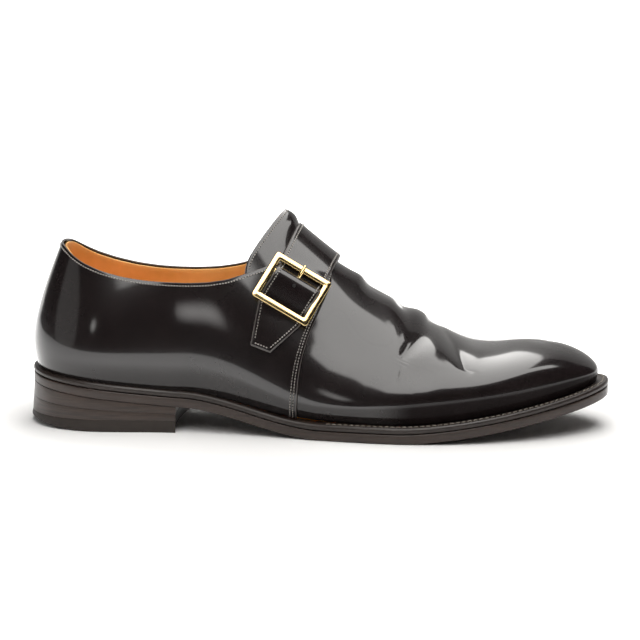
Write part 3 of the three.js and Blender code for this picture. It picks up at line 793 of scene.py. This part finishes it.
# ------------------------------------------------------------------ strap and buckle
surface_u, surface_v = np.arange(0, LOOP, 0.05), np.linspace(0.4, 2, 160)
surface = last(surface_u[:, None], surface_v[None, :])
wrap_tree = BVHTree.FromPolygons(
    surface.reshape(-1, 3).tolist(), grid_faces(len(surface_u), len(surface_v), ring=True)
)
TILT_ANGLE = math.radians(24)
STRAP_AXIS = np.array([133.7, 2, 51.8])
STRAP_UP = np.array([math.sin(TILT_ANGLE), 0, math.cos(TILT_ANGLE)])
STRAP_ACROSS = np.array([math.cos(TILT_ANGLE), 0, -math.sin(TILT_ANGLE)])
PER_DEGREE = math.radians(40)  # mm of strap for a degree round the axis
BUCKLE_ANGLE, BUCKLE_SHIFT, BUCKLE_HEIGHT = 52, -2, 3.9
BUCKLE_SPAN = 12  # degrees and mm each way over which the buckle's plane is taken
BUCKLE_TURN = math.radians(6)
STRAP_THICK = 1.9
CLEAR = 0.45
LAID = CLEAR + STRAP_THICK / 2


def wrap(angle, across, height=0.0):
    """Point over the last, at an angle round the strap's axis from the top to the outer side."""
    turn = math.radians(angle)
    start = STRAP_AXIS + STRAP_ACROSS * across
    way = STRAP_UP * math.cos(turn) - np.array([0, 1, 0]) * math.sin(turn)
    hit = wrap_tree.ray_cast(Vector(start), Vector(way))[0]
    return np.array(hit) + way * height


def buckle_axes():
    up = wrap(BUCKLE_ANGLE - BUCKLE_SPAN, BUCKLE_SHIFT) - wrap(BUCKLE_ANGLE + BUCKLE_SPAN, BUCKLE_SHIFT)
    front, behind = BUCKLE_SHIFT + BUCKLE_SPAN, BUCKLE_SHIFT - BUCKLE_SPAN
    across = wrap(BUCKLE_ANGLE, front) - wrap(BUCKLE_ANGLE, behind)
    out = unit(np.cross(across, up))
    up = unit(up)
    turn = Matrix.Rotation(-BUCKLE_TURN, 3, Vector(out))
    up = np.array(turn @ Vector(up))
    across = np.cross(up, out)
    return wrap(BUCKLE_ANGLE, BUCKLE_SHIFT), across, up, out


ORIGIN, ACROSS, UP, OUT = buckle_axes()


def on_buckle(x, y, z):
    return ORIGIN + np.multiply.outer(x, ACROSS) + np.multiply.outer(y, UP) + np.multiply.outer(z, OUT)


# degrees round the axis, and the strap's back and front edges there
STRAP = np.array([
    [-90, -15, 15], [-60, -13.4, 13.4], [-30, -12.6, 12.6], [0, -12.5, 12.5], [25, -12.6, 12],
    [40, -13, 10.6], [60, -13.6, 10.1], [70, -13.4, 10], [78, -12.6, 8.8], [90, -10.6, 5],
    [98, -9.2, 2.2], [101, -8.7, 1.4],
])
# The strap climbs over the bar: its height at distances up from the buckle's middle.
HEIGHT_UP = [-11, -9, -7, -4, -1, 2, 4, 5.3, 6.4, 7, 8, 9.2]
HEIGHT = [LAID, LAID + 0.1, 2.2, 3.8, 5.3, 6.3, 6.5, 6.1, 5, 3.6, 2, LAID]
strap_height = soften(HEIGHT_UP, HEIGHT, 0.45)
SKEW = 0.14  # degrees for each mm across
HELD = 8, 17  # the strap lies in the buckle's plane up to the first, and free from the second
STRAP_FROM, STRAP_TO = -90, 101  # degrees at its root and its point
EVENING, EVEN_FROM = 6, 12


def strap_point(up, across, height):
    angle = BUCKLE_ANGLE - up / PER_DEGREE
    laid = wrap(angle - SKEW * (across - BUCKLE_SHIFT), across, height)
    held = on_buckle(across - BUCKLE_SHIFT, up, height)
    hold = float(1 - smoothstep(*HELD, abs(up)))
    return laid * (1 - hold) + held * hold


def strap_grid(n, m):
    ups = np.linspace((BUCKLE_ANGLE - STRAP_FROM) * PER_DEGREE, (BUCKLE_ANGLE - STRAP_TO) * PER_DEGREE, n)
    shares = np.linspace(0, 1, m)
    p = np.zeros((n, m, 3))
    for i, up in enumerate(ups):
        angle = BUCKLE_ANGLE - up / PER_DEGREE
        back = np.interp(angle, STRAP[:, 0], STRAP[:, 1])
        front = np.interp(angle, STRAP[:, 0], STRAP[:, 2])
        height = float(strap_height(np.clip(up, HEIGHT_UP[0], HEIGHT_UP[-1])))
        for j, share in enumerate(shares):
            p[i, j] = strap_point(up, back + (front - back) * share, height)
    # evens out the wrapped middle layer along the strap
    for _ in range(EVENING):
        calm = p.copy()
        calm[1:-1] = (p[:-2] + 2 * p[1:-1] + p[2:]) / 4
        near = (np.abs(ups) < EVEN_FROM)[:, None, None]
        p = np.where(near, p, calm)
    return ups, p


ups, strap_mid = strap_grid(240, 25)
strap_n = grid_normal(strap_mid)
strap_face = strap_mid + strap_n * STRAP_THICK / 2
# the shell's rows run across the strap, from its front edge back
across, across_n = (grid.transpose(1, 0, 2)[::-1] for grid in (strap_face, strap_n))
points, faces = shell(across, across_n, STRAP_THICK, lips=0.8)
make("strap_look", points, faces, UPPER, "upper_leather", ["strap"], rim=face_count(strap_face))

BUCKLE = dict(width=32.4, length=27, bar=3.4, depth=2.4, corner=1.6)


def rounded_rectangle(width, length, corner, steps=6):
    pts = []
    for turn, (right, up) in enumerate(((1, -1), (1, 1), (-1, 1), (-1, -1))):
        cx, cy = right * (width / 2 - corner), up * (length / 2 - corner)
        for k in range(steps + 1):
            a = math.radians(90 * (turn - 1) + 90 * k / steps)
            pts.append((cx + corner * math.cos(a), cy + corner * math.sin(a)))
    return np.array(pts)


def buckle_frame():
    """A flat ring with small bevels along all its edges."""
    w, l, bar, d, c = (BUCKLE[k] for k in ("width", "length", "bar", "depth", "corner"))
    bevel = 0.35
    low, high = BUCKLE_HEIGHT - d / 2, BUCKLE_HEIGHT + d / 2
    section = []  # shrink, height, on the window's side
    for shrink, z, window in (
        (0, low + bevel, False), (0, high - bevel, False), (bevel * 0.3, high - bevel * 0.3, False),
        (bevel, high, False), (bevel, high, True), (bevel * 0.3, high - bevel * 0.3, True),
        (0, high - bevel, True), (0, low + bevel, True), (bevel, low, True), (bevel, low, False),
    ):
        grow = shrink if window else -shrink
        inside = 2 * bar if window else 0
        corner = max(0.2, (0.6 if window else c) + grow)
        ring = rounded_rectangle(w - inside + 2 * grow, l - inside + 2 * grow, corner)
        section.append(on_buckle(ring[:, 0], ring[:, 1], np.full(len(ring), z)))
    pts = np.stack(section, 1)
    return pts.reshape(-1, 3), closed_faces(*pts.shape[:2])


make("buckle_frame_look", *buckle_frame(), BRASS, "buckle_brass", ["buckle_frame"], sharp=60)
BAR_HALF, BAR_UP, BAR_RADIUS = 12.5, 4.3, 1.1
ends = np.linspace(-BAR_HALF, BAR_HALF, 12)
bar_path = on_buckle(ends, np.full(len(ends), BAR_UP), np.full(len(ends), BUCKLE_HEIGHT))
make("prong_bar", *tube(bar_path, BAR_RADIUS, 20), BRASS, "buckle_brass", ["buckle_bar"])
# the prong's path up the buckle and out from it, and its radius along it
PRONG_LINE = [(5.6, 4.6), (6.6, 5.2), (7.8, 5.8), (9.4, 6.2), (11, 6.25), (12.6, 6.2), (14, 5.95)]
fine = np.linspace(0, 1, 24)
ys, zs = (np.interp(fine, np.linspace(0, 1, len(PRONG_LINE)), line) for line in zip(*PRONG_LINE))
prong_path = on_buckle(np.zeros(len(fine)), ys, zs)
radius = np.interp(fine, [0, 0.7, 0.93, 1], [1.0, 0.95, 0.75, 0.35])
make("prong", *tube(prong_path, radius, 14), BRASS, "buckle_brass", ["buckle_prong"])

# the spare hole under the prong: a dark disc, painted shade standing in for the hole's depth
HOLE_UP, HOLE_ACROSS, HOLE_RADIUS = 1.3, 0.2, 0.95
hole = strap_point(HOLE_UP, BUCKLE_SHIFT + HOLE_ACROSS, float(strap_height(HOLE_UP)) + STRAP_THICK / 2)
disc = tube([hole - OUT * 0.3, hole + OUT * 0.25], HOLE_RADIUS, 24)
make("spare_hole", *disc, plain("hole_painted_shade", (0.004, 0.003, 0.003), 0.9), "upper_leather", ["strap"])

# ------------------------------------------------------------------ stitching
def lay(grid, normal, i, j):
    """Points and normals of a grid at fractional row and column numbers."""
    i, j = np.broadcast_arrays(np.asarray(i, float), np.asarray(j, float))
    i0 = np.clip(np.floor(i).astype(int), 0, grid.shape[0] - 2)
    j0 = np.clip(np.floor(j).astype(int), 0, grid.shape[1] - 2)
    a, b = (i - i0)[..., None], (j - j0)[..., None]

    def mix(g):
        low = g[i0, j0] * (1 - a) + g[i0 + 1, j0] * a
        high = g[i0, j0 + 1] * (1 - a) + g[i0 + 1, j0 + 1] * a
        return low * (1 - b) + high * b

    return mix(grid), unit(mix(normal))


def inset_rows(grid, distance, from_top=True):
    """Column number, for each row, at a distance along the row from its end."""
    run = arc(grid)
    total = run[:, -1:]
    want = total[:, 0] - distance if from_top else np.full(len(grid), distance)
    return np.array([np.interp(w, r, np.arange(len(r))) for w, r in zip(want, run)])


def inset_columns(grid, distance, from_end=True):
    return inset_rows(grid.transpose(1, 0, 2), distance, from_end)


EDGE_ROW, SEAM_ROWS, STRAP_ROW = 1.5, (1.4, 3.0), 1.3  # distances in from the edge
TONGUE_FROM = 84  # height where the tongue's row starts
row, dark = Batch(), Batch()
n, m = quarter.shape[:2]
stitches(row, *lay(quarter, quarter_n, np.arange(n), inset_rows(quarter, EDGE_ROW)), groove=dark)
for distance in SEAM_ROWS:
    for from_end in (True, False):
        seam_i = inset_columns(quarter, distance, from_end)
        keep = np.arange(2, m - 3)
        stitches(row, *lay(quarter, quarter_n, seam_i[keep], keep), groove=dark)
# the tongue's edge
tongue_n = grid_normal(vamp_face)
tongue_i = inset_columns(vamp_face, EDGE_ROW, False)
keep = np.where(vamp_face[0, :, 2] > TONGUE_FROM)[0]
stitches(row, *lay(vamp_face, tongue_n, tongue_i[keep], keep), groove=dark)
# the strap's long edges and its point
sn, sm = strap_face.shape[:2]
end_i = inset_columns(strap_face, STRAP_ROW)
for from_end in (True, False):
    strap_j = inset_rows(strap_face, STRAP_ROW, from_end)
    keep = np.arange(2, int(end_i[-1 if from_end else 0]))
    stitches(row, *lay(strap_face, strap_n, keep, strap_j[keep]), groove=dark)
across = np.linspace(strap_j[sn - 3], sm - 1 - strap_j[sn - 3], 12)
stitches(row, *lay(strap_face, strap_n, np.interp(across, np.arange(sm), end_i), across), groove=dark)
SEWN = ["upper", "tongue", "strap"]
row.make("stitching", THREAD, "upper_leather", SEWN)
# the grooves are dark cords along the stitch rows: painted shade in the stitch channels
dark.make("stitch_grooves", plain("groove_painted_shade", (0.006, 0.005, 0.005), 0.8), "upper_leather", SEWN)

# ------------------------------------------------------------------ sole
OUTSOLE_TOP, WELT_FOOT, INSOLE_TOP = 5.0, 5.3, 10.9  # over the outsole's lower face
FEATHER = 3.1  # from the upper's foot in to the welt's inner edge
SOLE_ROUNDING = 0.8
SOLE_U = np.arange(480) * LOOP / 480


def inner_edge(u):
    return side["foot"](u) + FEATHER


# the welt's outer side: inset and height
WELT_SIDE = [(0.9, 5.3), (0.35, 5.42), (0.05, 5.8), (-0.05, 6.8), (0.1, 7.4), (0.45, 8.0), (1.0, 8.3)]
welt_inner = inner_edge(SOLE_U)
section = []
for inset, height in [(welt_inner, WELT_FOOT), *WELT_SIDE, (welt_inner, SOLE_STACK)]:
    x, y = edge(SOLE_U, inset)
    section.append(np.stack([x, y, underside(x) + height], -1))
welt = np.stack(section, 1)
make("welt_look", welt.reshape(-1, 3), closed_faces(*welt.shape[:2]), WELT_EDGE, "sole_leather", ["welt"], 60)


def slab_rim(outlines, bottom, over, r):
    """The rim of a slab, rounded at both faces. outlines is (upper, lower), each giving the outline at
    an inset; bottom(x) and over(x) are the faces' heights."""
    layers = []
    for low, angles in ((True, (90, 60, 30, 0)), (False, (0, 30, 60, 90))):
        for angle in angles:
            t = math.radians(angle)
            x, y = outlines[low](r * (1 - math.cos(t)))
            lift = r * (1 - math.sin(t))
            layers.append(np.stack([x, y, bottom(x) + lift if low else over(x) - lift], -1))
    return np.stack(layers, 1)


def slab(name, outline, bottom, over, mat, slot, nodes):
    """Slab over the whole sole. Straight rungs from side to side close its two faces."""
    pts = slab_rim((outline, outline), bottom, over, SOLE_ROUNDING)
    n, m = pts.shape[:2]
    faces = grid_faces(n, m, ring=True)
    for i in range(n // 2):
        rung = i, i + 1, (n - i - 1) % n, (n - i) % n
        for j, flip in ((0, True), (m - 1, False)):
            faces += [f[::-1] if flip else f for f in without_repeats([q * m + j for q in rung])]
    return make(name, pts.reshape(-1, 3), faces, mat, slot, nodes, 60)


slab("outsole_look", lambda inset: edge(SOLE_U, inset + 0.15), underside,
     lambda x: underside(x) + OUTSOLE_TOP, SOLE_EDGE, "sole_leather", ["outsole"])
slab("insole_look", lambda inset: edge(SOLE_U, inset + inner_edge(SOLE_U) + 0.3),
     lambda x: underside(x) + WELT_FOOT, lambda x: underside(x) + INSOLE_TOP,
     LINING, "lining_leather", ["insole"])

BREAST, BREAST_HOLLOW = 3.24, 3.2  # station of the heel's front corners, and how far it curves in
TOP_PIECE, TOP_PIECE_GAP = 6, 0.05
WEAR, WEAR_LENGTH = 4, 36
LIFT_GAP = 0.04
HEEL_FLARE, LIFT_FLARE = (-1.3, -0.8), 0.55  # insets at the lower and upper face, and the change for each lift


def heel_edge(extra):
    """Outline of the heel: round the back from one corner of the breast to the other, and across."""
    around = np.concatenate([np.linspace(BREAST, 0, 90)[:-1], LOOP - np.linspace(0, BREAST, 90)])
    around = np.mod(around, LOOP)

    def at(inset):
        x, y = edge(around, inset + extra)
        k = np.linspace(0, 1, 42)[1:-1]
        bx = x[-1] + (x[0] - x[-1]) * k - BREAST_HOLLOW * 4 * k * (1 - k)
        by = y[-1] + (y[0] - y[-1]) * k
        # the breast side steps back with the inset too
        return np.concatenate([x, bx - inset]), np.concatenate([y, by])

    return at


def lift_level(x, share):
    """Height in the heel at a share of the way from the top piece to the outsole."""
    return TOP_PIECE + (underside(x) - TOP_PIECE) * share


def heel_slab(name, flare, bottom, over, mat, slot, nodes, r):
    """One layer of the heel. Fans round a middle point close its two faces."""
    pts = slab_rim((heel_edge(flare[1]), heel_edge(flare[0])), bottom, over, r)
    n, m = pts.shape[:2]
    centre = [pts[:, j].mean(0) for j in (0, m - 1)]
    centre[0][2] = bottom(np.array([centre[0][0]]))[0]
    centre[1][2] = over(np.array([centre[1][0]]))[0]
    faces = grid_faces(n, m, flip=True, ring=True)
    for i in range(n):
        q = (i + 1) % n
        faces.append((n * m, i * m, q * m))
        faces.append((n * m + 1, q * m + m - 1, i * m + m - 1))
    return make(name, np.concatenate([pts.reshape(-1, 3), centre]), faces, mat, slot, nodes, 60)


def wear(x):
    """The heel is worn off towards its back."""
    return WEAR * np.clip((WEAR_LENGTH - x) / WEAR_LENGTH, 0, 1) ** 1.5


for number in (2, 1):
    flare = LIFT_FLARE * number - 1.35, LIFT_FLARE * number - 0.8
    heel_slab(f"heel_lift_look_{number}", flare,
              lambda x, k=number: lift_level(x, (k - 1) / 2) + LIFT_GAP,
              lambda x, k=number: lift_level(x, k / 2) - LIFT_GAP,
              HEEL_EDGE, "sole_leather", [f"heel_lift_{number}"], r=0.1)
heel_slab("heel_top_piece_look", HEEL_FLARE, wear, lambda x: 0 * x + TOP_PIECE - TOP_PIECE_GAP,
          RUBBER, "heel_rubber", ["heel_top_piece"], r=0.12)

# pale stitches on the welt, from the waist forward
WELT_ROW_START, WELT_ROW_INSET = 5.6, 0.42  # station, and share of the way in to the upper's foot
welt_row = Batch()
u = np.linspace(WELT_ROW_START, LOOP - WELT_ROW_START, 900)
x, y = edge(u, side["foot"](u) * WELT_ROW_INSET)
path = np.stack([x, y, underside(x) + SOLE_STACK], -1)
stitches(welt_row, path, np.tile([0, 0, 1.0], (len(u), 1)), length=2.3, gap=0.7)
welt_row.make("welt_stitching", PALE_THREAD, "sole_leather", ["welt"])

# ------------------------------------------------------------------ studio
LIGHT_TINT = (1.0, 0.985, 0.96, 1)
PANEL_STRENGTH = 4.2
DISC_STEPS = 64


def on_stage(name, mesh, surface):
    mesh.materials.append(surface.material)
    thing = bpy.data.objects.new(name, mesh)
    bpy.context.scene.collection.objects.link(thing)


def emitter(name, strength):
    """A material that only glows, its glow and its output."""
    s = Surface(name)
    s.nodes.clear()
    out, glow = s.new("OutputMaterial"), s.new("Emission", Color=LIGHT_TINT, Strength=strength)
    s.link(glow.outputs["Emission"], out.inputs["Surface"])
    return s, glow, out


def glowing(name, points, faces, shares, strength=None):
    """A light with a number at each point: its brightness, or its opacity when strength is given."""
    mesh = bpy.data.meshes.new(name)
    mesh.from_pydata(points, [], faces)
    mesh.attributes.new("glow", "FLOAT", "POINT").data.foreach_set("value", shares)
    s, glow, out = emitter(name, strength or 1.0)
    share = s.attribute("glow")
    if strength is None:
        s.link(share, glow.inputs["Strength"])
    else:
        clear, mix = s.new("BsdfTransparent"), s.new("MixShader")
        s.link(share, mix.inputs["Fac"])
        s.link(clear.outputs["BSDF"], mix.inputs[1])
        s.link(glow.outputs["Emission"], mix.inputs[2])
        s.link(mix.outputs["Shader"], out.inputs["Surface"])
    on_stage(name, mesh, s)


def soft_panel(name, outline, z, fade):
    """A flat light over the shoe, in metres, fading over a margin inside its outline."""
    outer = [Vector((x, y, z)) for x, y in outline]
    centre = sum(outer, Vector()) / len(outer)
    inner = [c.lerp(centre, fade) for c in outer]
    n = len(outer)
    faces = [tuple(range(n))] + [(k, (k + 1) % n, n + (k + 1) % n, n + k) for k in range(n)]
    glowing(name, inner + outer, faces, [1.0] * n + [0.0] * n, PANEL_STRENGTH)


def reach(s, where, stretch=None):
    """Distance of a place from its origin, in a material's nodes."""
    if stretch:
        place = s.new("Mapping", Scale=stretch)
        s.link(where, place.inputs["Vector"])
        where = place.outputs["Vector"]
    length = s.new("VectorMath")
    length.operation = "LENGTH"
    s.link(where, length.inputs[0])
    return length.outputs["Value"]


def disc_light(name, centre, across, upward, strength, fade):
    """A soft elliptical light in metres: its centre and two half-axes. It fades towards its rim."""
    c, a, b = (Vector(k) for k in (centre, across, upward))
    turns = [2 * math.pi * k / DISC_STEPS for k in range(DISC_STEPS)]
    mesh = bpy.data.meshes.new(name)
    mesh.from_pydata([c + a * math.cos(t) + b * math.sin(t) for t in turns], [], [tuple(range(DISC_STEPS))])
    uv = mesh.uv_layers.new(name="disc")
    for k, t in enumerate(turns):
        uv.data[k].uv = (math.cos(t), math.sin(t))
    s, glow, _ = emitter(name, strength)
    where = s.new("UVMap")
    where.uv_map = "disc"
    shine = s.spread(reach(s, where.outputs["UV"]), 0.0, strength, 1.0, 1.0 - fade, smooth=True)
    s.link(shine, glow.inputs["Strength"])
    on_stage(name, mesh, s)


def pale_floor(left, right, near, far):
    """The floor, whose far part glows softly from the shoe's surroundings outwards."""
    mesh = bpy.data.meshes.new("floor")
    corners = [(left, near, 0), (right, near, 0), (right, far, 0), (left, far, 0)]
    mesh.from_pydata(corners, [], [(0, 1, 2, 3)])
    s = Surface("floor")
    s.set(Base_Color=(0.85, 0.85, 0.85, 1), Roughness=0.9, Specular_IOR_Level=0.1, Emission_Color=(1, 1, 1, 1))
    far_off = reach(s, s.new("TexCoord").outputs["Object"], stretch=(1, 1.7, 1))
    s.drive("Emission Strength", s.spread(far_off, 0.0, 0.9, 0.13, 0.30, smooth=True))
    on_stage("floor", mesh, s)


WALL_Y, WALL_HALF = 2.2, 3
WALL = [(0.0, 1.4), (0.17, 1.4), (0.2, 0.45), (3.0, 0.3)]  # height and brightness of the wall behind
pale_floor(-2.5, 2.5, -0.4, WALL_Y)
glowing("backdrop", [(x, WALL_Y, z) for z, _ in WALL for x in (-WALL_HALF, WALL_HALF)],
        [(k, k + 1, k + 3, k + 2) for k in (0, 2, 4)], [shine for _, shine in WALL for _ in (0, 1)])
OVERHEAD = [
    (-0.45, -2.15), (-0.1, -2.3), (0.2, -1.7), (0.42, -1.2), (0.53, -0.85), (0.52, -0.45), (0.52, -0.1),
    (0.53, 0.2), (0.5, 0.55), (0.48, 0.85), (0.4, 1.2), (0.22, 1.6), (0.0, 1.95), (-0.3, 1.9),
    (-0.3, -0.5), (-0.5, -1.7),
]
STRAP_CARD = [
    (0.10, -0.42), (0.2, -0.46), (0.24, -0.35), (0.27, -0.195), (0.315, -0.066), (0.37, 0.03), (0.41, 0.10),
    (0.34, 0.14), (0.26, 0.05), (0.15, 0.0), (0.1, -0.1),
]
soft_panel("strap_card", STRAP_CARD, 0.45, 0.12)
soft_panel("overhead", OVERHEAD, 1.2, 0.1)
disc_light("low_card", (-0.60, -1.45, 0.38), (0.115, 0, 0), (0, 0, 0.16), 3.6, 1.0)
disc_light("heel_card", (-1.45, -1.0, 0.5), (0.2, -0.7, 0), (0, 0, 0.9), 0.45, 0.3)

world = bpy.data.worlds.new("studio")
bpy.context.scene.world = world
world.use_nodes = True
world.node_tree.nodes["Background"].inputs["Color"].default_value = (0.02, 0.02, 0.021, 1)
world.node_tree.nodes["Background"].inputs["Strength"].default_value = 1.0
bpy.context.scene.view_settings.view_transform = "Standard"

# ------------------------------------------------------------------ camera
AZIMUTH, ELEVATION, DISTANCE = math.radians(5), math.radians(10), 1.1
AIM = [152, 0, 50]
SLIDE_RIGHT, SLIDE_UP = 0.001724, 0.003866  # metres
SENSOR, FOCAL, PICTURE = 36, 2105.4, 640  # the last two in the same unit
flat = math.cos(ELEVATION)
back = Vector((math.sin(AZIMUTH) * flat, -math.cos(AZIMUTH) * flat, math.sin(ELEVATION)))
right = Vector((math.cos(AZIMUTH), math.sin(AZIMUTH), 0))
upward = back.cross(right)
aim = Vector(((np.array(AIM) - MIDDLE) / 1000).tolist())
data = bpy.data.cameras.new("camera")
data.sensor_width = SENSOR
data.lens = SENSOR * FOCAL / PICTURE
data.clip_start, data.clip_end = 0.05, 50
camera = bpy.data.objects.new("camera", data)
bpy.context.scene.collection.objects.link(camera)
place = aim + back * DISTANCE + right * SLIDE_RIGHT + upward * SLIDE_UP
camera.matrix_world = Matrix.Translation(place) @ Matrix((right, upward, back)).transposed().to_4x4()
bpy.context.scene.camera = camera
